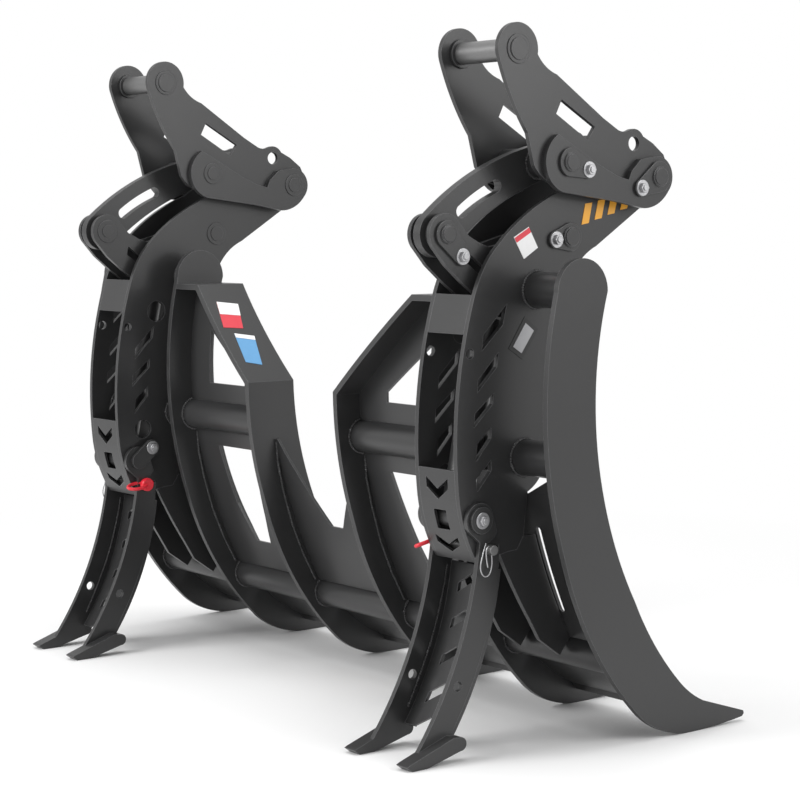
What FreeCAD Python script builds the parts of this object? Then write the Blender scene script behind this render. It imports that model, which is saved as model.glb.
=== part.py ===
import FreeCAD, Part
import math
import os
import re
import types

import Sketcher
from FreeCAD import Placement, Rotation, Vector

# Log grapple with six curved tines and two lift uprights. X runs across the grapple, +Y towards the
# tine tips and +Z up; the origin is the middle of the footprint, on the ground. Each right-hand piece
# is drawn in the YZ plane and padded across, and its left-hand twin is a mirror of it.

# Driving dimensions, in millimetres and degrees.
SIZES = {
    # tines and the tubes that join them
    "tine_pitch": 423.5, "tine_thick": 16, "tine_top_radius": 80, "belly_radius": 270,
    "tube_radius": 44.45, "tube_wall": 8, "tube_fit": 0.2,
    "middle_tube_y": -94, "middle_tube_z": 716,
    "upper_tube_y": -55, "upper_tube_z": 1127,
    "lower_tube_y": 91, "lower_tube_z": 212,
    "bend_low": 835, "bend_high": 1100, "bend_out": 514,
    # sheets between the tines
    "sheet_thick": 8, "toe_bar_thick": 25, "toe_bar_width": 50,
    "slot_offset": 91, "slot_radius": 8.5,
    # uprights
    "unit_x": 803, "upright_gap": 137.5, "upright_thick": 12.7, "nose_radius": 55,
    "cover_thick": 8, "boss_gap": 0.5,
    "hose_hole_high": 31, "hose_hole_low": 28,
    # pivots, hook pin and lock hole
    "hook_y": -144, "hook_z": 1707, "hook_radius": 27,
    "lock_y": 240, "lock_z": 1487, "lock_radius": 18.5,
    "ear_pivot_y": 309, "ear_pivot_z": 1404, "ear_pin_radius": 22,
    "link_pivot_y": 8, "link_pivot_z": 1438, "link_pin_radius": 20,
    "rocker_pivot_y": 50, "rocker_pivot_z": 1255, "rocker_pin_radius": 22,
    "rocker_link_y": -311, "rocker_link_z": 1265,
    "rod_pivot_y": -131, "rod_pivot_z": 1120, "small_pin_radius": 19,
    "base_pivot_y": -249, "base_pivot_z": 575,
    "pin_fit": 0.05,
    # ears
    "ear_gap": 20, "ear_thick": 12.7, "doubler_thick": 16, "gusset_thick": 16,
    "pin_proud": 5,
    # rocker, link and cylinder
    "rocker_gap": 62, "rocker_thick": 12.7, "link_thick": 25.4, "link_boss_radius": 38,
    "rod_eye_width": 55, "rod_eye_radius": 36, "rod_radius": 19, "base_eye_width": 60,
    "base_eye_radius": 30, "barrel_radius": 38, "rod_end_gap": 66, "piston_length": 30,
    "barrel_wall": 6, "slide_fit": 0.05,
    # parking legs and their hitch pins
    "leg_gap": 0.8, "leg_thick": 12.7, "web_thick": 9.5, "foot_width": 42.8, "leg_fold": 167,
    "leg_head_radius": 42, "leg_lock_y": -320, "leg_lock_z": 177,
    "hitch_y": -225, "hitch_z": 502, "hitch_radius": 12.7, "handle_radius": 6,
}
S = types.SimpleNamespace(**SIZES)

doc = FreeCAD.newDocument("log_grapple")
sheet = doc.addObject("Spreadsheet::Sheet", "sizes")
for row, (alias, number) in enumerate(SIZES.items(), start=1):
    sheet.set(f"A{row}", alias)
    sheet.set(f"B{row}", str(number))
    sheet.setAlias(f"B{row}", alias)
doc.recompute()


# ---- paths: (across, up) is a straight run to that point, and (across, up, rise) an arc to it that
# stands rise to the left of its chord. A closed path runs anticlockwise, with its solid on the left.

def cells(words):
    """An expression in plain size names, as the spreadsheet's cells."""
    return re.sub("[a-z][a-z_]+", lambda name: "sizes." + name.group(), words)


def pivot(name):
    """The named centre in the YZ plane."""
    return (SIZES[name + "_y"], SIZES[name + "_z"])


def around(centre, radius, start, end):
    """An arc of a circle between two angles in degrees."""
    first, last = math.radians(start), math.radians(end)
    rise = radius * (1 - math.cos((last - first) / 2))
    return [
        (centre[0] + radius * math.cos(first), centre[1] + radius * math.sin(first)),
        (centre[0] + radius * math.cos(last), centre[1] + radius * math.sin(last),
         -math.copysign(rise, last - first)),
    ]


def circle(centre, radius):
    """A full circle as two arcs."""
    return around(centre, radius, 0, 180) + around(centre, radius, 180, 360)


def round_slot(low, high, radius):
    """A slot with round ends about two centres."""
    lean = math.degrees(math.atan2(high[1] - low[1], high[0] - low[0]))
    return around(high, radius, lean - 90, lean + 90) + around(low, radius, lean + 90, lean + 270)


def offset(path, distance):
    """The open path moved to its left by a distance."""
    leans = []
    for start, end in zip(path, path[1:]):
        run = math.hypot(end[0] - start[0], end[1] - start[1])
        lean = math.atan2(end[1] - start[1], end[0] - start[0])
        rise = end[2] if len(end) == 3 else 0
        swing = 2 * math.atan2(2 * rise, run)
        leans.append((lean + swing, lean - swing))
    moved = []
    for index, point in enumerate(path):
        before = leans[max(index - 1, 0)][1] if index else leans[0][0]
        after = leans[index][0] if index < len(leans) else before
        middle = (before + after) / 2
        reach = distance / math.cos((after - before) / 2)
        moved.append((point[0] - reach * math.sin(middle), point[1] + reach * math.cos(middle)))
    for index in range(1, len(path)):
        if len(path[index]) == 3:
            start, end = path[index - 1], path[index]
            share = math.dist(moved[index - 1][:2], moved[index][:2]) / math.dist(start[:2], end[:2])
            moved[index] += (end[2] * share,)
    return moved


def backwards(path):
    """The open path run from its end to its start."""
    turned = [path[-1][:2]]
    for index in range(len(path) - 1, 0, -1):
        arc = path[index]
        turned.append(path[index - 1][:2] + ((-arc[2],) if len(arc) == 3 else ()))
    return turned


def ribbon(path, right, left):
    """The closed band between two offsets of an open path."""
    return offset(path, right) + backwards(offset(path, left))


def turned(point, centre, degrees):
    """A point turned about a centre, anticlockwise seen from +X."""
    angle = math.radians(degrees)
    across, up = point[0] - centre[0], point[1] - centre[1]
    return (centre[0] + across * math.cos(angle) - up * math.sin(angle),
            centre[1] + across * math.sin(angle) + up * math.cos(angle))


def edges(path):
    """The lines and arcs of a closed path."""
    drawn = []
    last = path[-1]
    for item in path:
        start, end = Vector(last[0], last[1], 0), Vector(item[0], item[1], 0)
        last = item
        chord = end - start
        if chord.Length < 1e-6:
            continue
        if len(item) == 3 and abs(item[2]) > 1e-6:
            middle = (start + end) / 2 + Vector(-chord.y, chord.x, 0) * (item[2] / chord.Length)
            drawn.append(Part.Arc(start, middle, end))
        else:
            drawn.append(Part.LineSegment(start, end))
    return drawn


# ---- building blocks: bodies, sketches, pads, pockets, pins and mirrors

NODES = []


def node(part):
    """Lists a finished sub-part for checking and export."""
    NODES.append(part)
    return part


def body(label):
    made = doc.addObject("PartDesign::Body", label)
    made.Label = label
    return made


def bore(name, radius, fit="pin_fit"):
    """A round hole about a named pivot, held by the spreadsheet."""
    return (name, radius, fit)


def draw(owner, plane, paths, bores, level):
    sketch = owner.newObject("Sketcher::SketchObject", owner.Name + "_sketch")
    faces = [face for face in owner.Origin.OriginFeatures if face.Role == plane]
    sketch.AttachmentSupport = [(faces[0], "")]
    sketch.MapMode = "FlatFace"
    sketch.setExpression("AttachmentOffset.Base.z", cells(level))
    for path in paths:
        for edge in edges(path):
            drawn = sketch.addGeometry(edge, False)
            sketch.addConstraint(Sketcher.Constraint("Block", drawn))
    for name, radius, fit in bores:
        centre = pivot(name)
        ring = Part.Circle(Vector(centre[0], centre[1], 0), Vector(0, 0, 1), SIZES[radius])
        drawn = sketch.addGeometry(ring, False)
        for kind, start, value, words in (
            ("DistanceX", (-1, 1), centre[0], name + "_y"),
            ("DistanceY", (-1, 1), centre[1], name + "_z"),
        ):
            held = sketch.addConstraint(Sketcher.Constraint(kind, *start, drawn, 3, float(value)))
            sketch.setExpression(f"Constraints[{held}]", cells(words))
        held = sketch.addConstraint(Sketcher.Constraint("Radius", drawn, SIZES[radius]))
        sketch.setExpression(f"Constraints[{held}]", cells(f"{radius} + {fit}"))
    return sketch


def pad(owner, paths, start, thick, bores=()):
    """A plate of the YZ outline, from a place across and as thick as the sizes say."""
    plate = owner.newObject("PartDesign::Pad", owner.Name + "_pad")
    plate.Profile = draw(owner, "YZ_Plane", paths, bores, start)
    plate.setExpression("Length", cells(thick))
    return plate


def pocket(owner, paths, plane="XZ_Plane"):
    """A cut right through the body, square to the plane."""
    cut = owner.newObject("PartDesign::Pocket", owner.Name + "_cut")
    cut.Profile = draw(owner, plane, paths, (), "0")
    cut.Type = "ThroughAll"
    cut.SideType = "Symmetric"
    return cut


def cylinder(label, centre, radius, start, length):
    """A cylinder along X about a named pivot."""
    made = doc.addObject("Part::Cylinder", label)
    made.Placement = Placement(Vector(), Rotation(Vector(0, 1, 0), 90))
    made.setExpression("Radius", cells(radius))
    made.setExpression("Height", cells(length))
    made.setExpression("Placement.Base.x", cells(start))
    made.setExpression("Placement.Base.y", cells(centre + "_y"))
    made.setExpression("Placement.Base.z", cells(centre + "_z"))
    return made


def joined(label, pieces):
    """Pieces welded into one solid."""
    made = doc.addObject("Part::MultiFuse", label)
    made.Shapes = pieces
    return made


def group(label, pieces):
    """Like pieces that share a node."""
    made = doc.addObject("Part::Compound", label)
    made.Links = pieces
    return made


def tube(label, centre, start, length):
    cut = doc.addObject("Part::Cut", label)
    cut.Base = cylinder(label + "_outside", centre, "tube_radius", start, length)
    cut.Tool = cylinder(label + "_inside", centre, "tube_radius - tube_wall", start, length)
    return cut


def mirrored(part, label):
    """The left-hand twin of a right-hand part."""
    made = doc.addObject("Part::Mirroring", label)
    made.Source = part
    made.Normal = Vector(1, 0, 0)
    return made


def pair(part):
    """Both hands of a right-hand part, as two nodes."""
    part.Label = "right_" + part.Name
    return [node(part), node(mirrored(part, "left_" + part.Name))]


def both(label, part):
    """Both hands of a right-hand part, as one node."""
    return node(group(label, [part, mirrored(part, label + "_left")]))


# ---- where the plates of one lift unit stand across the grapple

INNER_TINE, MIDDLE_TINE, OUTER_TINE = "tine_pitch * 0.5", "tine_pitch * 1.5", "tine_pitch * 2.5"
UPRIGHT_OUT = "unit_x + upright_gap / 2"
UPRIGHT_IN = "unit_x - upright_gap / 2 - upright_thick"
EAR_OUT = UPRIGHT_OUT + " + upright_thick + ear_gap"
EAR_IN = UPRIGHT_IN + " - ear_gap - ear_thick"
LEG_OUT = UPRIGHT_OUT + " + upright_thick + leg_gap"
LEG_IN = UPRIGHT_IN + " - leg_gap - leg_thick"
inner_x, middle_x, outer_x = (S.tine_pitch * share for share in (0.5, 1.5, 2.5))
upright_half = S.upright_gap / 2 + S.upright_thick
leg_half = upright_half + S.leg_gap + S.leg_thick

# ---- tines: flat hooks cut from plate, with a round head, a smooth belly and a thin toe

top = (-69, 1127)
belly = (303, S.belly_radius)
TINE = (
    around(top, S.tine_top_radius, 0, 180)
    + [(-126, 487, -45), around(belly, S.belly_radius, 229, 270)[0] + (-32.7,)]
    + around(belly, S.belly_radius, 229, 270)[1:]
    + [(493, 13, -3.3), (500, 20), (497, 28), (349, 76), (265, 135, 4.7), (107, 358, 11.3)]
    + [(-4, 646, 11.7), around(top, S.tine_top_radius, 0, 180)[0] + (30.5,)]
)

outer_tine = body("outer_tine")
pad(outer_tine, [TINE], OUTER_TINE + " - tine_thick / 2", "tine_thick")
pair(outer_tine)

middle_tine = body("middle_tine")
through = [bore("middle_tube", "tube_radius", "tube_fit"), bore("lower_tube", "tube_radius", "tube_fit")]
pad(middle_tine, [TINE], MIDDLE_TINE + " - tine_thick / 2", "tine_thick", through)
pair(middle_tine)

# The inner tine is bent outwards above the middle tube and ends on the middle tine.
BENT = [
    (inner_x, -20),
    (inner_x, S.bend_low),
    (S.bend_out, S.bend_high),
    (middle_x - S.tine_thick / 2, S.bend_high),
]
inner_tine = body("inner_tine")
strip = inner_tine.newObject("PartDesign::Pad", "inner_tine_strip")
strip.Profile = draw(inner_tine, "XZ_Plane", [ribbon(BENT, -S.tine_thick / 2, S.tine_thick / 2)], (), "0")
strip.Length = 1400
strip.SideType = "Symmetric"
beyond = [(-800, -60), (800, -60), (800, 1300), (-800, 1300)]
pocket(inner_tine, [beyond, TINE], "YZ_Plane")
pocket(inner_tine, [circle(pivot("lower_tube"), S.tube_radius + S.tube_fit)], "YZ_Plane")
pair(inner_tine)

# ---- cross tubes

inner_face = "tine_pitch * 0.5 + tine_thick / 2"
outer_face = "tine_pitch * 2.5 - tine_thick / 2"
node(tube("lower_tube", "lower_tube", f"0 - ({outer_face})", f"2 * ({outer_face})"))
pair(tube("middle_tube", "middle_tube", inner_face, f"{outer_face} - ({inner_face})"))
outer_stub = tube("outer_stub", "upper_tube", UPRIGHT_OUT + " + upright_thick",
                  f"{outer_face} - ({UPRIGHT_OUT} + upright_thick)")
inner_stub = tube("inner_stub", "upper_tube", "tine_pitch * 1.5 + tine_thick / 2",
                  f"{UPRIGHT_IN} - (tine_pitch * 1.5 + tine_thick / 2)")
pair(group("upper_tube", [inner_stub, outer_stub]))

# ---- sheets: thin curved plates along the middle of the tines' depth, cut out between them

SHEET = [(-77, 1092), (-81, 630, -23), (62, 250, -12)]
LOW_SHEET = [(142, 165), (286.6, 61.6, -8)]


def sheet_plate(label, start, end, openings):
    made = body(label)
    half = S.sheet_thick / 2
    pad(made, [ribbon(SHEET, -half, half)], start, f"{end} - ({start})")
    pocket(made, openings)
    pocket(made, [circle(pivot("middle_tube"), S.tube_radius + S.tube_fit)], "YZ_Plane")
    return made


half_centre = inner_x - S.tine_thick / 2
SHEET_TOP = 1400
vee = [(-half_centre, 688), (-28, 432), (28, 432), (half_centre, 688)]
vee += [(half_centre, SHEET_TOP), (-half_centre, SHEET_TOP)]
node(sheet_plate("centre_sheet", f"0 - ({INNER_TINE}) + tine_thick / 2",
                 INNER_TINE + " - tine_thick / 2", [vee]))

underside = offset(BENT, -S.tine_thick / 2)
above_bend = [underside[1], underside[2], underside[3]]
above_bend += [(underside[3][0], SHEET_TOP), (underside[1][0], SHEET_TOP)]
triangle = [(340, 815), (525, 815), (525, 975), (340, 842)]
window = [(392, 335), (463, 335), (500, 450), (516, 627), (328, 627), (368, 420)]
pair(sheet_plate("bay_sheet", INNER_TINE + " + tine_thick / 2", MIDDLE_TINE + " - tine_thick / 2",
                 [above_bend, triangle, window]))

side_in, side_out = middle_x + S.tine_thick / 2, outer_x - S.tine_thick / 2
above_side = [(side_in, 700), (S.unit_x - upright_half, 625), (S.unit_x + upright_half, 625)]
above_side += [(side_out, 705), (side_out, SHEET_TOP), (side_in, SHEET_TOP)]
slot_x = S.unit_x + S.slot_offset
slot = round_slot((slot_x, 326), (slot_x, 532), S.slot_radius)
pair(sheet_plate("side_sheet", MIDDLE_TINE + " + tine_thick / 2", OUTER_TINE + " - tine_thick / 2",
                 [above_side, slot]))

# Below the lower tube a second sheet runs on to the toe bar, in each of the five bays.
toe_lean = math.radians(-53)
along = Vector(math.cos(toe_lean), math.sin(toe_lean), 0) * S.toe_bar_thick
across = Vector(-math.sin(toe_lean), math.cos(toe_lean), 0) * S.toe_bar_width
corner = Vector(285, 58, 0)
TOE_BAR = [tuple(place)[:2] for place in (corner, corner + along, corner + along + across, corner + across)]
low_sheets = []
toe_bars = []
for bay in range(5):
    start = f"tine_pitch * {bay - 2.5} + tine_thick / 2"
    for made, label, outline in (
        (low_sheets, "low_sheet", ribbon(LOW_SHEET, -S.sheet_thick / 2, S.sheet_thick / 2)),
        (toe_bars, "toe_bar", TOE_BAR),
    ):
        piece = body(f"{label}_{bay + 1}")
        pad(piece, [outline], start, "tine_pitch - tine_thick")
        made.append(piece)
node(group("low_sheets", low_sheets))
node(group("toe_bars", toe_bars))

# ---- uprights: two profiled plates a side that carry the cylinder, the rocker and the ear

REAR = [(30, 1371), (-206, 1210, -18), (-253, 1119, -4.3), (-279, 1025, -1.1), (-309, 697, -11.7)]
REAR += [(-303, 623, -0.6), (-247, 468, -8.5)]
UPRIGHT = (
    around(pivot("ear_pivot"), S.nose_radius, -60, 100)
    + [(60, 1392)] + REAR
    + [(-150, 487), (-120, 489), (-99, 521), (-85, 630), (-30, 690, -8), (40, 1100, -12)]
    + [(142, 1231, 22), (294, 1326)]
)
TOP_WINDOW = [(-152, 1095), (-227, 1022), (-231, 984), (-165, 1045)]
WINDOWS = [
    [(-178, 979), (-244, 914), (-246, 883), (-184, 943)],
    [(-194, 880), (-254, 833), (-257, 799), (-197, 854)],
    [(-203, 796), (-246, 760), (-251, 716), (-203, 769)],
]
LOW_WINDOW = [(-203, 717), (-251, 672), (-246, 643), (-203, 690)]
stow = turned((S.leg_lock_y, S.leg_lock_z), pivot("base_pivot"), -S.leg_fold)


pivots = [
    bore("ear_pivot", "ear_pin_radius"),
    bore("rocker_pivot", "rocker_pin_radius"),
    bore("base_pivot", "small_pin_radius"),
    bore("hitch", "hitch_radius"),
    bore("middle_tube", "tube_radius", "tube_fit"),
]
stow_hole = circle(stow, S.hitch_radius + S.pin_fit)
ROCKER_BOSS = "(upright_gap - rocker_gap) / 2 - rocker_thick - boss_gap"
BASE_BOSS = "(upright_gap - base_eye_width) / 2 - boss_gap"


def upright(label, start, openings, outwards):
    """One upright plate with its pivot bosses; outwards is the side the ear runs on."""
    made = body(label)
    pad(made, [UPRIGHT, stow_hole] + openings, start, "upright_thick", pivots)
    for name, radius, pin, length, side in (
        ("ear_pivot", 45, "ear_pin_radius", "ear_gap - boss_gap", outwards),
        ("rocker_pivot", 38, "rocker_pin_radius", ROCKER_BOSS, -outwards),
        ("base_pivot", 28, "small_pin_radius", BASE_BOSS, -outwards),
    ):
        place = f"{start} + upright_thick" if side > 0 else f"{start} - ({length})"
        pad(made, [circle(pivot(name), radius)], place, length, [bore(name, pin)])
    return made


pair(upright("upright_outer_plate", UPRIGHT_OUT, WINDOWS + [TOP_WINDOW, LOW_WINDOW], 1))
hose_holes = [circle((-169, 1023), S.hose_hole_high), circle((-222, 668), S.hose_hole_low)]
pair(upright("upright_inner_plate", UPRIGHT_IN, WINDOWS + hose_holes, -1))

# Plates that close the back of the upright, let in flush with its rear edge.
gap_start, gap_width = "unit_x - upright_gap / 2", "upright_gap"
back_plate = body("upper_back_plate")
pad(back_plate, [ribbon(REAR[2:4], 0, S.cover_thick)], gap_start, gap_width)
pair(back_plate)


def chevron(middle, point, half_width, drop, arm):
    """A V cut with its point at a height; a negative drop points it up."""
    return [
        (middle, point), (middle + half_width, point + drop), (middle + half_width, point + drop + arm),
        (middle, point + arm), (middle - half_width, point + drop + arm), (middle - half_width, point + drop),
    ]


lower_cover = body("lower_cover")
pad(lower_cover, [ribbon(REAR[4:], 0, S.cover_thick)], gap_start, gap_width)
plain = [(S.unit_x - 24, 546), (S.unit_x + 24, 546), (S.unit_x + 24, 596), (S.unit_x - 24, 596)]
pocket(lower_cover, [chevron(S.unit_x, 622, 42, 28, 26), plain, chevron(S.unit_x, 488, 44, 22, 20)])
pair(lower_cover)

# Spine ribs carry on below the upright plates, down the back of the sheet to the lower tube.
sheet_back = offset(SHEET[1:], -S.sheet_thick / 2)
RIB = [(-175, 482), (-77, 308, -3), (-44, 253), (23, 206), (44, 232), sheet_back[1][:2]]
RIB += [(-60, 521, 8), (-99, 521), (-120, 489), (-150, 487)]
ribs = body("spine_rib_outer")
pad(ribs, [RIB], UPRIGHT_OUT, "upright_thick")
ribs_inner = body("spine_rib_inner")
pad(ribs_inner, [RIB], UPRIGHT_IN, "upright_thick")
pair(group("spine_ribs", [ribs_inner, ribs]))

# ---- pins fixed to the uprights

rocker_pin = cylinder("rocker_pin_bar", "rocker_pivot", "rocker_pin_radius", UPRIGHT_IN + " - pin_proud",
                      "upright_gap + 2 * upright_thick + 2 * pin_proud")
both("rocker_pivot_pins", rocker_pin)

base_bar = cylinder("base_bar", "base_pivot", "small_pin_radius", LEG_IN + " - boss_gap",
                    "upright_gap + 2 * (upright_thick + leg_gap + leg_thick + boss_gap)")
disc = cylinder("base_disc", "base_pivot", "33", LEG_OUT + " + leg_thick + boss_gap", "8")
keeper = body("base_keeper")
keeper_bolt = (-204, 613)
pad(keeper, [round_slot(pivot("base_pivot"), keeper_bolt, 24)], LEG_IN + " - boss_gap - 10", "10")
pad(keeper, [circle(keeper_bolt, 14)], LEG_IN + " - boss_gap", "leg_thick + leg_gap + boss_gap")
both("base_pins", joined("base_pin", [base_bar, disc, keeper]))

# ---- ears: two plates a side that hook on the loader and tip the grapple about the nose

hook, lock, nose, knee = pivot("hook"), pivot("lock"), pivot("ear_pivot"), pivot("link_pivot")
EAR = (
    around(hook, 63, -10, 195)
    + [(-113, 1507, -8), (-93, 1430), (8, 1382, -16), (210, 1358), (247, 1342)]
    + around(nose, 57, -70, 25)
    + [(344, 1461), (306, 1489)]
    + around(lock, 37, 30, 115)
    + [(178, 1524, 6), (135, 1548), (-20, 1650)]
)
EAR[0] = EAR[0] + (7,)
EAR_WINDOW = [(-22, 1555), (83, 1493), (107, 1526), (-4, 1590)]
DOUBLER = (
    around(knee, 76, 118, 255)
    + [(160, 1343), (262, 1325)]
    + [around(nose, 52, -42, 100)[0] + (-12,)] + around(nose, 52, -42, 100)[1:]
    + [(250, 1448), (218, 1418), (208, 1396), (170, 1405), (109, 1432)]
)
ear_bores = [
    bore("hook", "hook_radius"),
    bore("lock", "lock_radius", "0 * pin_fit"),
    bore("ear_pivot", "ear_pin_radius"),
    bore("link_pivot", "link_pin_radius"),
]
for label, place in (("ear_outer_plate", EAR_OUT), ("ear_inner_plate", EAR_IN)):
    ear = body(label)
    pad(ear, [EAR, EAR_WINDOW], place, "ear_thick", ear_bores)
    pair(ear)
doubler = body("ear_doubler")
pad(doubler, [DOUBLER], EAR_OUT + " + ear_thick", "doubler_thick", ear_bores[2:])
pair(doubler)
gusset = body("ear_gusset")
GUSSET_LINE = [(100, 1500), (160, 1440)]
pad(gusset, [ribbon(GUSSET_LINE, -S.gusset_thick / 2, S.gusset_thick / 2)], EAR_IN + " + ear_thick",
    "upright_gap + 2 * (upright_thick + ear_gap)")
pair(gusset)

across_ears = "upright_gap + 2 * (upright_thick + ear_gap + ear_thick + pin_proud)"
pair(cylinder("hook_pin", "hook", "hook_radius", EAR_IN + " - pin_proud", across_ears))
pivot_pin = cylinder("ear_pin_bar", "ear_pivot", "ear_pin_radius", EAR_IN + " - pin_proud",
                     across_ears + " + doubler_thick")
link_pin = cylinder("link_pin_bar", "link_pivot", "link_pin_radius", EAR_IN + " - pin_proud",
                    across_ears + " + doubler_thick")
pair(group("ear_pins", [pivot_pin, link_pin]))

# ---- rocker: two bell-crank plates on a hub, between the upright plates

tail, crank, heel = pivot("rocker_link"), pivot("rod_pivot"), pivot("rocker_pivot")
ROCKER = (
    around(heel, 50, -60, 120)
    + [(-60, 1262, 6), (-154, 1237), (-177, 1233), (-205, 1242), (-240, 1260)]
    + around(tail, 50, 50, 225)
    + [(-311, 1189), (-262, 1148), (-234, 1128)]
    + around(crank, 60, 232, 330)
)
ROCKER_SLOT = [(-240, 1219), (-246, 1195), (-205, 1163), (-190, 1182)]
rocker = body("rocker")
hub_width = "rocker_gap + 2 * rocker_thick"
pad(rocker, [circle(heel, 38)], f"unit_x - ({hub_width}) / 2", hub_width,
    [bore("rocker_pivot", "rocker_pin_radius")])
for place in ("unit_x - rocker_gap / 2 - rocker_thick", "unit_x + rocker_gap / 2"):
    pad(rocker, [ROCKER, ROCKER_SLOT], place, "rocker_thick",
        [bore("rocker_pivot", "rocker_pin_radius"), bore("rocker_link", "small_pin_radius"),
         bore("rod_pivot", "small_pin_radius")])
pair(rocker)
# The link's tail boss and the rod's eye drift a little about these pins in mid travel, so each pin is
# a stub in its own plate.
small_pins = []
for name in ("rocker_link", "rod_pivot"):
    for side, place in (("in", f"unit_x - ({hub_width}) / 2 - pin_proud"), ("out", "unit_x + rocker_gap / 2")):
        small_pins.append(cylinder(f"{name}_{side}", name, "small_pin_radius", place, "rocker_thick + pin_proud"))
pair(group("rocker_pins", small_pins))

# ---- link: one thick curved plate with a boss at each end

LINK = (
    around(tail, 56, 130, 305)
    + [around(knee, 45, -70, 100)[0] + (19,)] + around(knee, 45, -70, 100)[1:]
)
LINK[0] = LINK[0] + (-25,)
SLOT_LINE = [(-238, 1319), (-128, 1381, 4)]
slot_sides = offset(SLOT_LINE, -16), backwards(offset(SLOT_LINE, 16))
LINK_SLOT = slot_sides[0] + [slot_sides[1][0] + (-16,)] + slot_sides[1][1:]
LINK_SLOT[0] = LINK_SLOT[0] + (-16,)
link = body("link")
pad(link, [LINK, LINK_SLOT], "unit_x - link_thick / 2", "link_thick",
    [bore("link_pivot", "link_pin_radius"), bore("rocker_link", "small_pin_radius")])
for name, pin, width in (
    ("link_pivot", "link_pin_radius", "upright_gap + 2 * (upright_thick + ear_gap) - 2 * boss_gap"),
    ("rocker_link", "small_pin_radius", "rocker_gap - 2 * boss_gap"),
):
    pad(link, [circle(pivot(name), S.link_boss_radius)], f"unit_x - ({width}) / 2", width,
        [bore(name, pin)])
pair(link)

# ---- lift cylinder: base eye and barrel, with the rod and its eye

base, stroke = Vector(0, *pivot("base_pivot")), Vector(0, *crank) - Vector(0, *pivot("base_pivot"))
reach = stroke.Length
upwards = Rotation(Vector(0, 0, 1), stroke)


def turning(label, length, radius, start):
    """A cylinder on the lift cylinder's own line, from a distance above the base pin."""
    made = doc.addObject("Part::Cylinder", label)
    made.Placement = Placement(base + stroke * (start / reach), upwards)
    made.setExpression("Radius", cells(radius))
    made.setExpression("Placement.Base.x", cells("unit_x"))
    made.Height = length
    return made


def minus(label, solid, tools):
    """A solid with holes cut in it."""
    cut = doc.addObject("Part::Cut", label)
    cut.Base = solid
    cut.Tool = group(label + "_tools", tools)
    return cut


barrel_start, barrel_end = 45, reach - S.rod_end_gap
eye_block = cylinder("base_eye", "base_pivot", "base_eye_radius", "unit_x - base_eye_width / 2",
                     "base_eye_width")
neck = turning("base_neck", barrel_start + 5, "base_eye_radius - 6", 0)
shell = turning("barrel_shell", barrel_end - barrel_start, "barrel_radius", barrel_start)
inside = turning("barrel_inside", barrel_end - barrel_start - 24, "barrel_radius - barrel_wall",
                 barrel_start + 12)
gland = turning("gland_hole", 40, "rod_radius + slide_fit", barrel_end - 20)
base_hole = cylinder("base_hole", "base_pivot", "small_pin_radius + pin_fit",
                     "unit_x - base_eye_width / 2 - 1", "base_eye_width + 2")
pair(minus("cylinder_barrel", joined("barrel_solid", [eye_block, neck, shell]), [inside, gland, base_hole]))

piston_start = barrel_start + 14
rod_eye = cylinder("rod_eye", "rod_pivot", "rod_eye_radius", "unit_x - rod_eye_width / 2", "rod_eye_width")
rod_bar = turning("rod_bar", reach - piston_start - 10, "rod_radius", piston_start)
piston = turning("piston", S.piston_length, "barrel_radius - barrel_wall - 0.3", piston_start)
rod_hole = cylinder("rod_hole", "rod_pivot", "small_pin_radius + pin_fit",
                    "unit_x - rod_eye_width / 2 - 1", "rod_eye_width + 2")
pair(minus("cylinder_rod", joined("rod_solid", [rod_eye, rod_bar, piston]), [rod_hole]))

# ---- parking leg: two flanges, a web with arrow cuts and two foot bars

base_point = pivot("base_pivot")
hitch_point = pivot("hitch")
FRONT = [(-345, 59), (-190, 465, -26)]
swing = math.dist(hitch_point, base_point)
angle = math.degrees(math.atan2(hitch_point[1] - base_point[1], hitch_point[0] - base_point[0]))
notch = S.hitch_radius + 0.8
far, near = swing + notch, swing - notch
mouth = 40
# The hitch pin sits in a notch about the base pin, open to the front, so that the leg can fold.
NOTCH = (
    around(base_point, far, angle, angle + mouth)
    + around(base_point, near, angle + mouth, angle)
)
NOTCH[0] = NOTCH[0] + (-notch,)
FLANGE = (
    around(base_point, S.leg_head_radius, 10, 235)
    + [(-250, 520), (-447, 27, 37)] + FRONT + [(-188, 520)]
)
FOOT = [(-500, 12), (-484, 0), (-440, 0), (-335, 27)]
FOOT += [(-335, 60, -17), (-357, 62), (-492, 16)]
leg = body("leg")
lock_hole = circle((S.leg_lock_y, S.leg_lock_z), S.hitch_radius + S.pin_fit)
for place, foot_place in (
    (LEG_OUT, LEG_OUT),
    (LEG_IN, LEG_IN + " + leg_thick - foot_width"),
):
    pad(leg, [FLANGE, lock_hole], place, "leg_thick", [bore("base_pivot", "small_pin_radius")])
    pad(leg, [FOOT], foot_place, "foot_width")
    if place is LEG_OUT:
        WEB = FRONT[:1] + [(-194, 450, -25.5)]
        pad(leg, [ribbon(WEB, -S.web_thick, 0)], LEG_IN,
            "upright_gap + 2 * (upright_thick + leg_gap + leg_thick)")
arrows = [chevron(S.unit_x, 427 - 88 * step, 46, -28, -24) for step in range(4)]
arrows.append([(S.unit_x, 84), (S.unit_x - 46, 56), (S.unit_x - 46, -20), (S.unit_x + 46, -20), (S.unit_x + 46, 56)])
pocket(leg, arrows)
pocket(leg, [NOTCH], "YZ_Plane")
pair(leg)

# ---- hitch pin: a straight pin with a looped pull handle on its inner end

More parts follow.
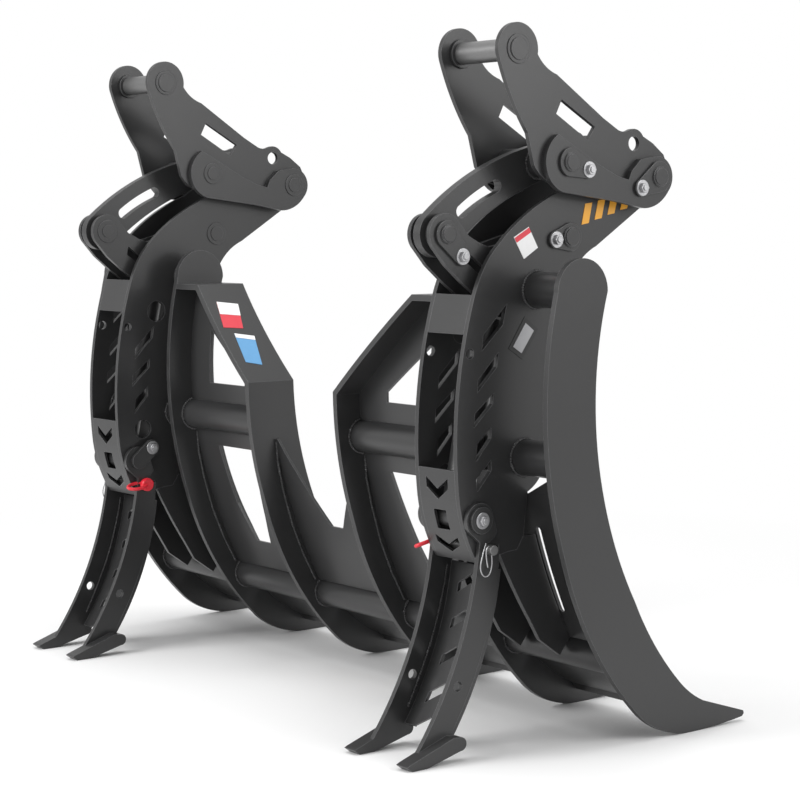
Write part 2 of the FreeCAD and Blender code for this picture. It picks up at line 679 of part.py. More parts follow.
pin_bar = cylinder("hitch_bar", "hitch", "hitch_radius", LEG_IN + " - 20",
                   "upright_gap + 2 * (upright_thick + leg_gap + leg_thick) + 45")
handle_x = S.unit_x - leg_half - 14
loop_points = [(-225, 502), (-238, 514), (-272, 500), (-285, 487), (-262, 484), (-225, 489)]
handle = body("handle_loop")
HANDLE = ribbon([(-225, 508), (-245, 512), (-284, 492)], -5, 5)
pad(handle, [around(hitch_point, 20, 0, 180) + around(hitch_point, 20, 180, 360)], LEG_IN + " - 20", "12")
pad(handle, [[(-228, 483), (-213, 518), (-245, 521), (-290, 494), (-282, 481)],
             [(-246, 493), (-240, 509), (-273, 491)]], LEG_IN + " - 20", "12")
pair(joined("hitch_pin", [pin_bar, handle]))

# ---- check and write each sub-part

doc.recompute()
for part in doc.Objects:
    faults = [state for state in part.State if state in ("Invalid", "Error")]
    if faults:
        raise RuntimeError(f"{part.Label} is {faults}")
os.makedirs("parts", exist_ok=True)
labels = [part.Label for part in NODES]
if len(set(labels)) < len(labels):
    raise RuntimeError("two sub-parts share a name")
for part in NODES:
    if part.Shape.isNull() or not part.Shape.isValid():
        raise RuntimeError(f"{part.Label} has no valid shape")
    part.Shape.exportStep(f"parts/{part.Label}.step")
print(len(NODES), "sub-parts written")
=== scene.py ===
import math

import bmesh
import bpy
from mathutils import Matrix, Vector


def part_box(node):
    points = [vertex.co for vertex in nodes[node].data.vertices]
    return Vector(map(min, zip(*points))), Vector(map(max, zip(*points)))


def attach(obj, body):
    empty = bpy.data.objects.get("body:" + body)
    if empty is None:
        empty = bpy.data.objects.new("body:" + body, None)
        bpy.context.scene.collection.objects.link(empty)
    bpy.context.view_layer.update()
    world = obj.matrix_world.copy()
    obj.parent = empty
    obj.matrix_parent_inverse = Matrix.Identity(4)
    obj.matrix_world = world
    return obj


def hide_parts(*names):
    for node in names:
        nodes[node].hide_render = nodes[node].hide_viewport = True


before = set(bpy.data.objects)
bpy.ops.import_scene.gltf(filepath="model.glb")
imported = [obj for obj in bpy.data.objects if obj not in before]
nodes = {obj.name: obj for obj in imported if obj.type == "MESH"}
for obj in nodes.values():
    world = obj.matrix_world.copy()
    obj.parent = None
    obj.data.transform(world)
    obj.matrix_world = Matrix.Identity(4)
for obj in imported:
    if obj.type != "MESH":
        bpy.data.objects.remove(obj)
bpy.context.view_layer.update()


# ---- Studio: a pale floor under plain soft light, and the camera.
# The room is white to the camera and dimmer to the grapple. The floor keeps the grapple's shadow
# and turns to the room's white further out.

LENS_MM = 95.04
SENSOR_MM = 36
CAMERA_PLACE = (4.7798, -3.4994, 1.3184)
CAMERA_HEADING, CAMERA_DIP, CAMERA_ROLL = math.radians(37.761), math.radians(5.0852), math.radians(-0.2733)


def look_along(heading, pitch, roll):
    """The turn of a camera that looks along a compass heading, dips by a pitch and rolls."""
    forward = Vector((-math.cos(heading) * math.cos(pitch), math.sin(heading) * math.cos(pitch),
                      -math.sin(pitch)))
    right = forward.cross(Vector((0, 0, 1))).normalized()
    up = right.cross(forward)
    rolled_right = math.cos(roll) * right + math.sin(roll) * up
    rolled_up = -math.sin(roll) * right + math.cos(roll) * up
    return Matrix((rolled_right, rolled_up, -forward)).transposed().to_4x4()


def linked(name, data):
    """A new object in the scene's collection."""
    made = bpy.data.objects.new(name, data)
    bpy.context.scene.collection.objects.link(made)
    return made


camera = linked("camera", bpy.data.cameras.new("camera"))
camera.data.sensor_width = SENSOR_MM
camera.data.lens = LENS_MM
camera.matrix_world = Matrix.Translation(CAMERA_PLACE) @ look_along(CAMERA_HEADING, CAMERA_DIP, CAMERA_ROLL)
bpy.context.scene.camera = camera


class Socket:
    """A shader value: the operators add Math nodes for the numbers they join."""

    def __init__(self, tree, source):
        self.tree = tree
        self.source = source

    def math(self, operation, *values):
        return node(self.tree, "ShaderNodeMath", {"operation": operation}, values)

    def __add__(self, other):
        return self.math("ADD", self, other)

    __radd__ = __add__

    def __sub__(self, other):
        return self.math("SUBTRACT", self, other)

    def __rsub__(self, other):
        return self.math("SUBTRACT", other, self)

    def __mul__(self, other):
        return self.math("MULTIPLY", self, other)

    __rmul__ = __mul__

    def __truediv__(self, other):
        return self.math("DIVIDE", self, other)

    def clamped(self):
        return node(self.tree, "ShaderNodeClamp", {}, (self, 0.0, 1.0))


def node(tree, kind, settings, values, out=0):
    """Adds a node: its settings first, then the values or links of its sockets."""
    made = tree.nodes.new(kind)
    for name, setting in settings.items():
        setattr(made, name, setting)
    pairs = values.items() if isinstance(values, dict) else enumerate(values)
    for name, value in pairs:
        socket = made.inputs[name]
        if isinstance(value, Socket):
            tree.links.new(value.source, socket)
        elif value is not None:
            if hasattr(socket.default_value, "__len__") and hasattr(value, "__len__"):
                size = len(socket.default_value)
                socket.default_value = (*value, 1.0)[:size] if len(value) < size else value
            else:
                socket.default_value = value
    return Socket(tree, made.outputs[out])


def material(name):
    """A new material, its tree and its surface shader."""
    made = bpy.data.materials.new(name)
    made.use_nodes = True
    return made, made.node_tree, made.node_tree.nodes["Principled BSDF"]


def feed(tree, shader, **links):
    """Joins sockets of the surface shader to values or links."""
    for name, value in links.items():
        socket = shader.inputs[name.replace("_", " ").title()]
        if isinstance(value, Socket):
            tree.links.new(value.source, socket)
        else:
            socket.default_value = value


def place_of(tree):
    """The place on the piece itself, so that a finish moves with it."""
    return node(tree, "ShaderNodeTexCoord", {}, {}, "Object")


FLOOR_REACH = 14
FLOOR_SHADOW_REACH, FLOOR_FADE = 1.4, 2.2

floor = linked("floor", bpy.data.meshes.new("floor"))
floor.data.from_pydata([(-FLOOR_REACH, -FLOOR_REACH, 0), (FLOOR_REACH, -FLOOR_REACH, 0),
                        (FLOOR_REACH, FLOOR_REACH, 0), (-FLOOR_REACH, FLOOR_REACH, 0)], [], [(0, 1, 2, 3)])
floor_finish, tree, shader = material("pale_floor")
feed(tree, shader, base_color=(0.86, 0.86, 0.86, 1), roughness=0.75)
distance = node(tree, "ShaderNodeVectorMath", {"operation": "LENGTH"}, (place_of(tree),), "Value")
glow = node(tree, "ShaderNodeEmission", {}, ())
blended = node(tree, "ShaderNodeMixShader", {}, (
    ((distance - FLOOR_SHADOW_REACH) / FLOOR_FADE).clamped(), Socket(tree, shader.outputs[0]), glow))
tree.links.new(blended.source, tree.nodes["Material Output"].inputs["Surface"])
floor.data.materials.append(floor_finish)

world = bpy.data.worlds.new("soft_room")
bpy.context.scene.world = world
world.use_nodes = True
backing = world.node_tree
seen_straight = node(backing, "ShaderNodeLightPath", {}, (), "Is Camera Ray")
seen_through = node(backing, "ShaderNodeLightPath", {}, (), "Is Transmission Ray")
ROOM_LIGHT = 0.75
strength = seen_straight.math("MAXIMUM", seen_straight, seen_through) * (1 - ROOM_LIGHT) + ROOM_LIGHT
background = backing.nodes["Background"]
background.inputs["Color"].default_value = (1, 1, 1, 1)
backing.links.new(strength.source, background.inputs["Strength"])


def soft_lamp(name, place, aim, size, power):
    """A large square lamp turned towards a point."""
    lamp = bpy.data.lights.new(name, "AREA")
    lamp.size = size
    lamp.energy = power
    made = linked(name, lamp)
    made.location = place
    made.rotation_euler = (Vector(aim) - Vector(place)).to_track_quat("-Z", "Y").to_euler()


soft_lamp("key_lamp", (-1.5, -5.5, 3.5), (0, 0, 0.9), 3.0, 260)
soft_lamp("fill_lamp", (5.5, 2.5, 3.0), (0, 0, 0.9), 3.0, 110)
soft_lamp("top_lamp", (0, 0, 5.5), (0, 0, 0), 4.0, 120)
bpy.context.scene.view_settings.view_transform = "Standard"


# ---- Finishes that the plates, pins and rods share.
# Charcoal powder coat has a fine orange peel and a slightly cloudy tone, and its edges are painted paler as a
# painted highlight where light catches them.

# The pale grey painted on the plates' edges as a painted highlight.
EDGE_HIGHLIGHT_GREY = (0.30, 0.30, 0.31)
EDGE_ROUND = 0.0018


def noise(tree, scale, detail=3.0, rough=0.5):
    return node(tree, "ShaderNodeTexNoise", {}, {
        "Vector": place_of(tree), "Scale": scale, "Detail": detail, "Roughness": rough}, "Fac")


def mix(tree, share, first, second):
    return node(tree, "ShaderNodeMix", {"data_type": "RGBA"}, {0: share, 6: first, 7: second}, 2)


def bump(tree, height, strength, distance, normal=None):
    return node(tree, "ShaderNodeBump", {}, {
        "Strength": strength, "Distance": distance, "Height": height, "Normal": normal}, "Normal")


def paint(name, colour, cloud, rough):
    """Powder coat: cloud is how far its tone wanders, and rough its mean roughness."""
    made, tree, shader = material(name)
    soft = noise(tree, 3.0, 4.0, 0.55)
    fine = noise(tree, 160.0, 3.0, 0.6)
    peel = noise(tree, 420.0, 2.0, 0.5)
    tone = (soft - 0.5) * 0.5 + (fine - 0.5) * 0.35
    darker = tuple(max(c - cloud, 0) for c in colour)
    paler = tuple(c + cloud for c in colour)
    shade = mix(tree, (tone + 0.5).clamped(), darker, paler)
    round_edge = node(tree, "ShaderNodeBevel", {"samples": 4}, {"Radius": EDGE_ROUND})
    flat = node(tree, "ShaderNodeNewGeometry", {}, (), "Normal")
    even = node(tree, "ShaderNodeVectorMath", {"operation": "DOT_PRODUCT"}, (round_edge, flat), "Value")
    # Painted highlight: where the rounded edge normal turns from the flat face, the colour is mixed towards
    # pale grey, broken up by the fine noise.
    edge_highlight = ((1 - even) * 7.0 * (fine * 1.2 + 0.1)).clamped() * 0.55
    feed(tree, shader, base_color=mix(tree, edge_highlight, shade, EDGE_HIGHLIGHT_GREY),
         roughness=(fine - 0.5) * 0.16 + rough, normal=bump(tree, peel, 0.18, 0.0006, round_edge))
    return made


def grained_metal(name, grain_scale, dark, light, metallic, rough):
    """Bare or plated metal, whose grain sets both its tone and how dull it is."""
    made, tree, shader = material(name)
    grain = noise(tree, grain_scale, 3.0, 0.6)
    feed(tree, shader, base_color=mix(tree, grain, dark, light), metallic=metallic,
         roughness=grain * 0.2 + rough)
    return made


charcoal = paint("charcoal_paint", (0.028, 0.028, 0.0285), 0.007, 0.33)
pin_steel = grained_metal("pin_steel", 300.0, (0.16, 0.16, 0.16), (0.24, 0.24, 0.24), 0.8, 0.3)
rod_chrome, tree, shader = material("rod_chrome")
feed(tree, shader, base_color=mix(tree, noise(tree, 200.0), (0.6, 0.6, 0.62), (0.7, 0.7, 0.72)), metallic=1.0,
     roughness=noise(tree, 90.0) * 0.08 + 0.08)
grip_red, tree, shader = material("grip_red")
feed(tree, shader, base_color=mix(tree, noise(tree, 60.0), (0.62, 0.015, 0.03), (0.75, 0.03, 0.05)),
     roughness=noise(tree, 120.0) * 0.15 + 0.25)

for name, cad_node in nodes.items():
    cad_node.data.materials.clear()
    if name.endswith("cylinder_rod"):
        cad_node.data.materials.append(rod_chrome)
    elif name.endswith("hook_pin"):
        cad_node.data.materials.append(pin_steel)
    else:
        cad_node.data.materials.append(charcoal)


# ---- Flags, collars and bolts at the pivots.
# Each pin is welded to a cut flag, which a zinc-plated bolt and washer hold to the plate; a turned
# collar is welded round the pin.

zinc = grained_metal("zinc_plate", 260.0, (0.34, 0.34, 0.35), (0.52, 0.52, 0.53), 0.85, 0.26)
BOTH_SIDES = ((1, "right"), (-1, "left"))

# Places in the side plane, as (Y, Z) in metres.
HOOK_PIN = (-0.144, 1.707)
EAR_PIVOT = (0.309, 1.404)
LINK_PIVOT = (0.008, 1.438)
ROCKER_PIVOT = (0.050, 1.255)
ROCKER_TAIL = (-0.311, 1.265)
BASE_PIN, BASE_KEEPER_BOLT = (-0.249, 0.575), (-0.204, 0.613)

WASHER_RADIUS, WASHER_THICK = 0.0205, 0.0032
BOLT_HEAD_RADIUS, BOLT_END_RADIUS = 0.0135, 0.008
FLAG_THICK, FLAG_BOLT_END_RADIUS = 0.008, 0.022
PIN_RIM, PIN_RIM_TOP, PIN_TOP = 0.004, 0.0125, 0.0165


def prism(mesh, outline, low, high, finish=0):
    """A plate of a YZ outline between two places across, in metres."""
    rings = [[mesh.verts.new((x, y, z)) for y, z in outline] for x in (low, high)]
    count = len(outline)
    faces = [rings[0][::-1], rings[1]]
    for i in range(count):
        after = (i + 1) % count
        faces.append((rings[0][i], rings[0][after], rings[1][after], rings[1][i]))
    for face in faces:
        made = mesh.faces.new(face)
        made.material_index = finish


def ring_points(centre, radius, start=0, end=360, steps=32):
    """Points round a centre in the YZ plane; the last is left out of a full ring."""
    count = steps if end - start == 360 else steps + 1
    turns = [math.radians(start + (end - start) * i / steps) for i in range(count)]
    return [(centre[0] + radius * math.cos(t), centre[1] + radius * math.sin(t)) for t in turns]


def slot_points(first, second, radius_one, radius_two):
    """A slot with round ends of their own size about two centres."""
    lean = math.degrees(math.atan2(second[1] - first[1], second[0] - first[0]))
    return (ring_points(second, radius_two, lean - 90, lean + 90, 14)
            + ring_points(first, radius_one, lean + 90, lean + 270, 14))


def finished(name, mesh, body, finishes, bevel=0.0012):
    """Turns a bmesh into a bevelled piece that rides on a body."""
    bmesh.ops.recalc_face_normals(mesh, faces=mesh.faces)
    data = bpy.data.meshes.new(name)
    mesh.to_mesh(data)
    mesh.free()
    for finish in finishes:
        data.materials.append(finish)
    made = linked(name, data)
    if bevel:
        edge = made.modifiers.new("bevel", "BEVEL")
        edge.width = bevel
        edge.segments = 2
        edge.limit_method = "ANGLE"
    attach(made, body)
    return made


def mirrored(side, low, high):
    """Two places across, on this side of the grapple, in rising order."""
    return (low, high) if side > 0 else (-high, -low)


def disc(mesh, side, centre, radius, low, high, finish=0, steps=32):
    prism(mesh, ring_points(centre, radius, steps=steps), *mirrored(side, low, high), finish)


def add_bolt(mesh, side, centre, face, way, head_height, end_height, finish=0):
    """A washer, a hexagon head and the bolt's end, standing from a face; way is 1 outwards."""
    washer_top = face + way * WASHER_THICK
    head_top = washer_top + way * head_height
    end_top = head_top + way * end_height
    disc(mesh, side, centre, WASHER_RADIUS, *sorted((face, washer_top)), finish)
    disc(mesh, side, centre, BOLT_HEAD_RADIUS, *sorted((washer_top, head_top)), finish, 6)
    disc(mesh, side, centre, BOLT_END_RADIUS, *sorted((head_top, end_top)), finish, 24)


# Pin centre, bolt centre, plate's face across, pin radius, body, flag's radius at the pin.
FLAGS = {
    "ear_pivot": (EAR_PIVOT, (0.247, 1.376), 0.933, 0.022, "{}_ear", 0.040),
    "link_pivot": (LINK_PIVOT, (0.066, 1.420), 0.933, 0.020, "{}_ear", 0.036),
    "rocker_pivot": (ROCKER_PIVOT, (0.002, 1.249), 0.8844, 0.022, "frame", 0.036),
    "rocker_link": (ROCKER_TAIL, (-0.266, 1.211), 0.8467, 0.019, "{}_rocker", 0.034),
}
# Pin centre, the collars' places across, their radius and their body. All but the hook pin's are
# where a pin ends on the inner side.
COLLARS = {
    "hook": (HOOK_PIN, ((0.9172, 0.9200), (0.6860, 0.6888), (0.7017, 0.7100), (0.8960, 0.9043)), 0.036,
             "{}_ear"),
    "ear": (EAR_PIVOT, ((0.6700, 0.6729),), 0.034, "{}_ear"),
    "knee": (LINK_PIVOT, ((0.6700, 0.6729),), 0.032, "{}_ear"),
    "rocker": (ROCKER_PIVOT, ((0.7188, 0.7215),), 0.034, "frame"),
    "tail": (ROCKER_TAIL, ((0.7566, 0.7593),), 0.034, "{}_rocker"),
}
for side, hand in BOTH_SIDES:
    for name, (centre, bolt, face, pin, body, flag_radius) in FLAGS.items():
        mesh = bmesh.new()
        prism(mesh, slot_points(centre, bolt, flag_radius, FLAG_BOLT_END_RADIUS),
              *mirrored(side, face, face + FLAG_THICK))
        disc(mesh, side, centre, pin + PIN_RIM, face + FLAG_THICK, face + PIN_RIM_TOP)
        disc(mesh, side, centre, pin, face, face + PIN_TOP)
        add_bolt(mesh, side, bolt, face + FLAG_THICK, 1, 0.0093, 0.003, 1)
        finished(f"{hand}_{name}_flag", mesh, body.format(hand), (charcoal, zinc))
    mesh = bmesh.new()
    add_bolt(mesh, side, BASE_PIN, 0.9064, 1, 0.0090, 0.0028)
    add_bolt(mesh, side, BASE_KEEPER_BOLT, 0.6974, -1, 0.0092, 0.003)
    finished(f"{hand}_base_bolts", mesh, "frame", (zinc,))
    for name, (centre, places, radius, body) in COLLARS.items():
        mesh = bmesh.new()
        for low, high in places:
            disc(mesh, side, centre, radius, low, high, steps=40)
        finished(f"{hand}_{name}_collar", mesh, body.format(hand), (charcoal,), 0.002)


# ---- Painted pin ends, and the doubler plates on the inner face of each ear.
# The doublers are the outer doublers' twins, 16 mm plate welded on round both pivots. Paint covers
# the sawn ends of the pins.

LIFT_MIDDLE = 0.803
HOOK_PIN_RADIUS, HOOK_PIN_ENDS = 0.0272, ((0.9210, 0.9230), (0.6830, 0.6850))
PIVOT_PIN_END = (0.6675, 0.6729)

for side, hand in BOTH_SIDES:
    outer_doubler = nodes[f"{hand}_ear_doubler"]
    mesh = bmesh.new()
    mesh.from_mesh(outer_doubler.data)
    bmesh.ops.transform(mesh, matrix=outer_doubler.matrix_world, verts=mesh.verts)
    for vertex in mesh.verts:
        vertex.co.x = side * 2 * LIFT_MIDDLE - vertex.co.x
    finished(f"{hand}_ear_inner_doubler", mesh, f"{hand}_ear", (charcoal,), 0)
    mesh = bmesh.new()
    for low, high in HOOK_PIN_ENDS:
        disc(mesh, side, HOOK_PIN, HOOK_PIN_RADIUS, low, high, steps=40)
    for centre, pin in ((EAR_PIVOT, 0.022), (LINK_PIVOT, 0.020)):
        disc(mesh, side, centre, pin, *PIVOT_PIN_END, steps=40)
    finished(f"{hand}_pin_ends", mesh, f"{hand}_ear", (charcoal,), 0.0015)


# ---- Hitch pins: they lock the parking legs to the uprights.
# Each is a steel bar with a red hub and a bent ring to pull it by, pushed through from the inner
# side and held by a clip of spring wire.

HITCH_PIN = (-0.225, 0.502)
PIN_RADIUS, HUB_RADIUS, HUB_LENGTH = 0.0127, 0.020, 0.0195
RING_WIRE, CLIP_WIRE = 0.005, 0.0016
# The clip's bends, as (Y, Z) from the pin, and how far each lies inwards of the one before.
CLIP_BENDS = [(0, -0.030), (-0.004, -0.012), (-0.003, 0.010), (0.006, 0.016), (0.012, 0.004), (0.016, -0.024),
              (0.010, -0.048), (-0.006, -0.052), (-0.016, -0.034), (-0.010, -0.010), (0.002, 0.020)]
CLIP_LAY = 0.001
CLIP_SCALE, CLIP_BACK, CLIP_DOWN = 1.15, 0.016, 0.006
RING_REACH, RING_HALF_LENGTH, RING_HALF_WIDTH = 0.034, 0.033, 0.05
RING_DROOP = {"right": math.radians(20), "left": math.radians(12)}


def plain_mesh(drawn, name):
    """What an object's modifiers or curve give, as a smooth mesh; the object is taken away."""
    bpy.context.view_layer.update()
    data = bpy.data.meshes.new_from_object(drawn.evaluated_get(bpy.context.evaluated_depsgraph_get()))
    bpy.data.objects.remove(drawn)
    data.name = name
    for face in data.polygons:
        face.use_smooth = True
    return data


def sweep(name, points, radius, body, finish, closed=False):
    """A round bar bent along points."""
    curve = bpy.data.curves.new(name, "CURVE")
    curve.dimensions = "3D"
    spline = curve.splines.new("NURBS")
    spline.points.add(len(points) - 1)
    for point, place in zip(spline.points, points):
        point.co = (*place, 1)
    spline.order_u = 3
    spline.use_endpoint_u = not closed
    spline.use_cyclic_u = closed
    curve.resolution_u = 8
    curve.bevel_depth = radius
    curve.bevel_resolution = 4
    curve.use_fill_caps = True
    data = plain_mesh(linked(name + "_line", curve), name)
    data.materials.clear()
    data.materials.append(finish)
    made = linked(name, data)
    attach(made, body)


for side, hand in BOTH_SIDES:
    pin_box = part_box(f"{hand}_hitch_pin")
    inner, outer = sorted(abs(corner.x) for corner in pin_box)
    mesh = bmesh.new()
    disc(mesh, side, HITCH_PIN, PIN_RADIUS, inner + 0.004, outer, steps=36)
    bar = finished(f"{hand}_hitch_bar", mesh, f"{hand}_hitch_pin", (pin_steel,))
    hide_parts(f"{hand}_hitch_pin")
    mesh = bmesh.new()
    disc(mesh, side, HITCH_PIN, HUB_RADIUS, inner + 0.001, inner + HUB_LENGTH, steps=36)
    finished(f"{hand}_hitch_hub", mesh, f"{hand}_hitch_pin", (grip_red,), 0.004)
    droop = RING_DROOP[hand]
    middle = Vector((side * (inner + 0.010), HITCH_PIN[0] - RING_REACH * math.cos(droop),
                     HITCH_PIN[1] - RING_REACH * math.sin(droop) * 0.3))
    across = Vector((side * 0.32, 0, 0.12))
    along = Vector((0, -math.cos(droop), -0.55 * math.sin(droop)))
    turns = [2 * math.pi * i / 12 for i in range(12)]
    ring = [middle + along * RING_HALF_LENGTH * math.cos(turn) + across * RING_HALF_WIDTH * math.sin(turn)
            for turn in turns]
    sweep(f"{hand}_hitch_ring", ring, RING_WIRE, f"{hand}_hitch_pin", grip_red, closed=True)
    wire = [(side * (outer - 0.006 - CLIP_LAY * i), HITCH_PIN[0] - CLIP_BACK + y * CLIP_SCALE,
             HITCH_PIN[1] - CLIP_DOWN + z * CLIP_SCALE) for i, (y, z) in enumerate(CLIP_BENDS)]
    sweep(f"{hand}_spring_clip", wire, CLIP_WIRE, f"{hand}_hitch_pin", zinc)


# ---- Weld beads where tubes, sheets and plates meet, laid by hand and left bright with spatter.
# Each bead is a row of overlapping ripples, made along its line by Geometry Nodes.

weld_steel, tree, shader = material("weld_bead")
grit = noise(tree, 190.0, 4.0, 0.7)
bright = ((grit - 0.58) * 6.0).clamped()
feed(tree, shader, base_color=mix(tree, bright, (0.045, 0.045, 0.046), (0.42, 0.42, 0.43)),
     metallic=bright * 0.5, roughness=0.42 - bright * 0.16,
     normal=bump(tree, grit, 0.5, 0.002))


def weld_tree():
    """Ripples set along a line: its inputs are their pitch and their radius."""
    group = bpy.data.node_groups.new("weld_ripples", "GeometryNodeTree")
    group.interface.new_socket("Geometry", in_out="INPUT", socket_type="NodeSocketGeometry")
    sockets = {}
    for name in ("Pitch", "Radius"):
        sockets[name] = group.interface.new_socket(name, in_out="INPUT", socket_type="NodeSocketFloat")
    group.interface.new_socket("Geometry", in_out="OUTPUT", socket_type="NodeSocketGeometry")
    source, target = group.nodes.new("NodeGroupInput"), group.nodes.new("NodeGroupOutput")
    to_curve = group.nodes.new("GeometryNodeMeshToCurve")
    points = group.nodes.new("GeometryNodeCurveToPoints")
    points.mode = "LENGTH"
    blob = group.nodes.new("GeometryNodeMeshIcoSphere")
    blob.inputs["Subdivisions"].default_value = 1
    scatter = group.nodes.new("GeometryNodeInstanceOnPoints")
    swell = group.nodes.new("FunctionNodeRandomValue")
    swell.inputs[2].default_value, swell.inputs[3].default_value = 0.8, 1.15
    swell.inputs["Seed"].default_value = 7
    real = group.nodes.new("GeometryNodeRealizeInstances")
    coat = group.nodes.new("GeometryNodeSetMaterial")
    coat.inputs["Material"].default_value = weld_steel
    link = group.links.new
    link(source.outputs["Geometry"], to_curve.inputs[0])
    link(to_curve.outputs[0], points.inputs["Curve"])
    link(source.outputs["Pitch"], points.inputs["Length"])
    link(source.outputs["Radius"], blob.inputs["Radius"])
    link(points.outputs["Points"], scatter.inputs["Points"])
    link(blob.outputs["Mesh"], scatter.inputs["Instance"])
    link(points.outputs["Rotation"], scatter.inputs["Rotation"])
    link(swell.outputs[1], scatter.inputs["Scale"])
    link(scatter.outputs[0], real.inputs[0])
    link(real.outputs[0], coat.inputs["Geometry"])
    link(coat.outputs[0], target.inputs[0])
    return group, sockets


ripples, ripple_sockets = weld_tree()


def weld(name, lines, body, pitch=0.006, radius=0.0045):
    """Beads along some lines of points, as one piece on a body."""
    vertices, edges = [], []
    for line in lines:
        start = len(vertices)
        vertices += [tuple(point) for point in line]
        edges += [(start + i, start + i + 1) for i in range(len(line) - 1)]
    data = bpy.data.meshes.new(name + "_line")
    data.from_pydata(vertices, edges, [])
    drawn = linked(name + "_line", data)
    layer = drawn.modifiers.new("ripples", "NODES")
    layer.node_group = ripples
    layer[ripple_sockets["Pitch"].identifier] = pitch
    layer[ripple_sockets["Radius"].identifier] = radius
    made = linked(name, plain_mesh(drawn, name))
    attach(made, body)


def bead_ring(x, centre, radius):
    """A closed bead round a tube or pin at one place across."""
    points = ring_points(centre, radius, steps=36)
    return [(x, y, z) for y, z in points + points[:1]]


# Each cross tube's centre as (Y, Z), and where plates meet it across.
TUBE_JOINTS = (
    ((-0.094, 0.716), (0.2197, 0.6267, 0.6432, 0.7210, 0.8849, 1.0507)),
    ((-0.055, 1.127), (0.6437, 0.7210, 0.8849, 1.0507)),
    ((0.091, 0.212), (0.2197, 0.6269, 0.6437, 1.0502, 0.2033)),
)
TUBE_BEAD_RADIUS = 0.0465
# The line of the beads down the back of the sheets, and where tines meet the sheets across.
SHEET_EDGE = [(-0.0885, 0.66), (-0.0840, 0.60), (-0.066, 0.52), (-0.036, 0.42), (0.002, 0.33), (0.044, 0.252)]
SHEET_JOINTS = (0.2030, 0.2205, 0.6267, 0.6440, 1.0500)
# The front of a parking leg's web, and its corners with the flanges across.
LEG_FRONT = [(-0.335, 0.10), (-0.309, 0.15), (-0.285, 0.20), (-0.263, 0.25), (-0.245, 0.30), (-0.230, 0.35),
             (-0.217, 0.40), (-0.210, 0.44)]
LEG_CORNERS = (0.7225, 0.8835)
# A short upright bead on each inner tine, above the middle tube.
SEAM_ACROSS, SEAM_HEIGHTS = 0.2205, (0.78, 0.80, 0.82)

for side, hand in BOTH_SIDES:
    beads = [bead_ring(side * x, centre, TUBE_BEAD_RADIUS) for centre, joints in TUBE_JOINTS for x in joints]
    beads += [[(side * x, y, z) for y, z in SHEET_EDGE] for x in SHEET_JOINTS]
    beads.append([(side * SEAM_ACROSS, -0.0855 + 0.004 * math.sin(z * 9), z) for z in SEAM_HEIGHTS])
    weld(f"{hand}_frame_welds", beads, "frame")
    corners = [[(side * x, y, z) for y, z in LEG_FRONT] for x in LEG_CORNERS]
    weld(f"{hand}_leg_welds", corners, f"{hand}_leg", 0.006, 0.0036)
    weld(f"{hand}_hook_welds", [bead_ring(side * x, HOOK_PIN, 0.032) for x in (0.7030, 0.9030)],
         f"{hand}_ear", 0.005, 0.0042)
    weld(f"{hand}_link_welds", [bead_ring(side * x, LINK_PIVOT, 0.039) for x in (0.7895, 0.8165)],
         f"{hand}_link", 0.006, 0.004)


# ---- Plain plates and labels: thin vinyl and aluminium, without lettering.
# They are stuck to the uprights, to the left inner tine and to the centre sheet.

AMBER, WHITE, RED, BLUE = (0.72, 0.33, 0.02), (0.78, 0.78, 0.78), (0.62, 0.03, 0.05), (0.10, 0.30, 0.55)
SILVER, BLACK = (0.35, 0.35, 0.36), (0.012, 0.012, 0.012)
LABEL_SUNK, LABEL_PROUD, LABEL_STEP = 0.0002, 0.0010, 0.0011
LABEL_FACE = 0.8846

# Corners as (Y, Z) on the upright's outer face.
SAFETY_LABEL = [(-0.098, 1.203), (-0.053, 1.230), (-0.083, 1.281), (-0.131, 1.256)]
SAFETY_BAND = [(-0.122, 1.243), (-0.076, 1.268), (-0.083, 1.279), (-0.129, 1.254)]
PLATE_BACKING = [(-0.148, 0.986), (-0.104, 0.958), (-0.052, 1.030), (-0.096, 1.062)]
DATA_PLATE = [(-0.134, 0.990), (-0.107, 0.973), (-0.067, 1.027), (-0.094, 1.047)]

# Corners on the inclined back of the left inner tine, and the way that this face looks.
TINE_NORMAL = Vector((0.659, 0.0, 0.752))
RED_STICKER = [Vector(place) for place in ((-0.4532, -0.1262, 1.0573), (-0.3729, -0.1542, 0.9869),
                                           (-0.3678, -0.0900, 0.9824), (-0.4438, -0.0574, 1.0491))]
BLUE_STICKER = [Vector(place) for place in ((-0.3524, -0.1313, 0.9689), (-0.2645, -0.1504, 0.8919),
                                            (-0.2537, -0.1013, 0.8824), (-0.3415, -0.0690, 0.9594))]


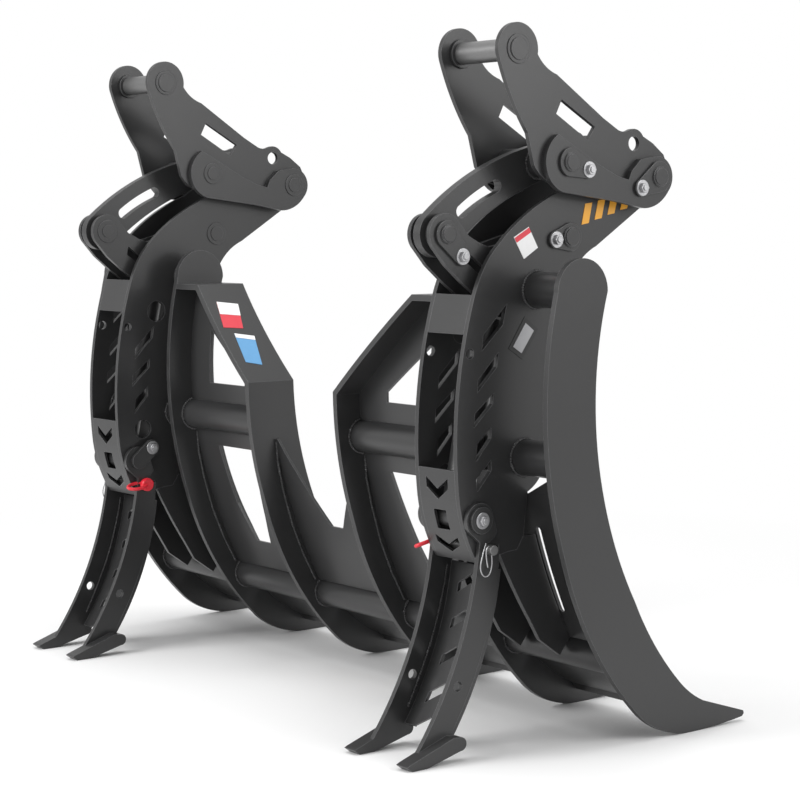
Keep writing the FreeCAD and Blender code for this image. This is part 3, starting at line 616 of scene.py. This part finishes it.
def sticker(name, corners, colour, metal=0.0):
    """A thin four-cornered label on the frame, standing a little proud of what it is on."""
    finish, tree, shader = material(name + "_vinyl")
    wear = noise(tree, 45.0, 4.0, 0.6)
    paler = tuple(min(c * 1.12 + 0.01, 1) for c in colour)
    feed(tree, shader, base_color=mix(tree, wear, colour, paler), metallic=metal,
         roughness=wear * 0.15 + 0.3)
    corners = [Vector(corner) for corner in corners]
    normal = (corners[1] - corners[0]).cross(corners[3] - corners[0]).normalized()
    mesh = bmesh.new()
    low = [mesh.verts.new(corner - normal * LABEL_SUNK) for corner in corners]
    high = [mesh.verts.new(corner + normal * LABEL_PROUD) for corner in corners]
    mesh.faces.new(high)
    mesh.faces.new(low[::-1])
    for i in range(4):
        mesh.faces.new((low[i], low[(i + 1) % 4], high[(i + 1) % 4], high[i]))
    finished(name, mesh, "frame", (finish,), 0)


def on_plate(side, x, points):
    """Corners on a plate across, turned to face away from the middle."""
    corners = [(side * x, y, z) for y, z in points]
    return corners if side > 0 else corners[::-1]


for side, hand in BOTH_SIDES:
    for bar in range(4):
        left = 0.092 + 0.044 * bar
        sticker(f"{hand}_nose_bar_{bar + 1}", on_plate(side, LABEL_FACE, [
            (left, 1.285 + 0.012 * bar), (left + 0.024, 1.289 + 0.012 * bar),
            (left + 0.036, 1.340 + 0.008 * bar), (left + 0.012, 1.337 + 0.008 * bar)]), AMBER)
    sticker(f"{hand}_safety_label", on_plate(side, LABEL_FACE, SAFETY_LABEL), WHITE)
    sticker(f"{hand}_label_band", on_plate(side, LABEL_FACE + LABEL_STEP, SAFETY_BAND), RED)
    sticker(f"{hand}_plate_backing", on_plate(side, LABEL_FACE, PLATE_BACKING), BLACK)
    sticker(f"{hand}_data_plate", on_plate(side, LABEL_FACE + LABEL_STEP, DATA_PLATE), SILVER, metal=0.6)

for name, corners, colour, share in (("red_sticker", RED_STICKER, RED, 0.48),
                                     ("blue_sticker", BLUE_STICKER, BLUE, 0.14)):
    sticker(name, corners, colour)
    top = [corners[0], corners[0].lerp(corners[1], share), corners[3].lerp(corners[2], share), corners[3]]
    sticker(name + "_band", [corner + TINE_NORMAL * LABEL_STEP for corner in top], WHITE)

# The centre sheet leans back towards its top, and so do its bars: their ends as (Y, Z).
BAR_FOOT, BAR_HEAD = (0.0470, 0.262), (0.0145, 0.318)
for bar in range(4):
    left = 0.088 + 0.026 * bar
    sticker(f"centre_bar_{bar + 1}", [(left, *BAR_FOOT), (left + 0.014, *BAR_FOOT),
                                      (left + 0.020, *BAR_HEAD), (left + 0.006, *BAR_HEAD)], AMBER)
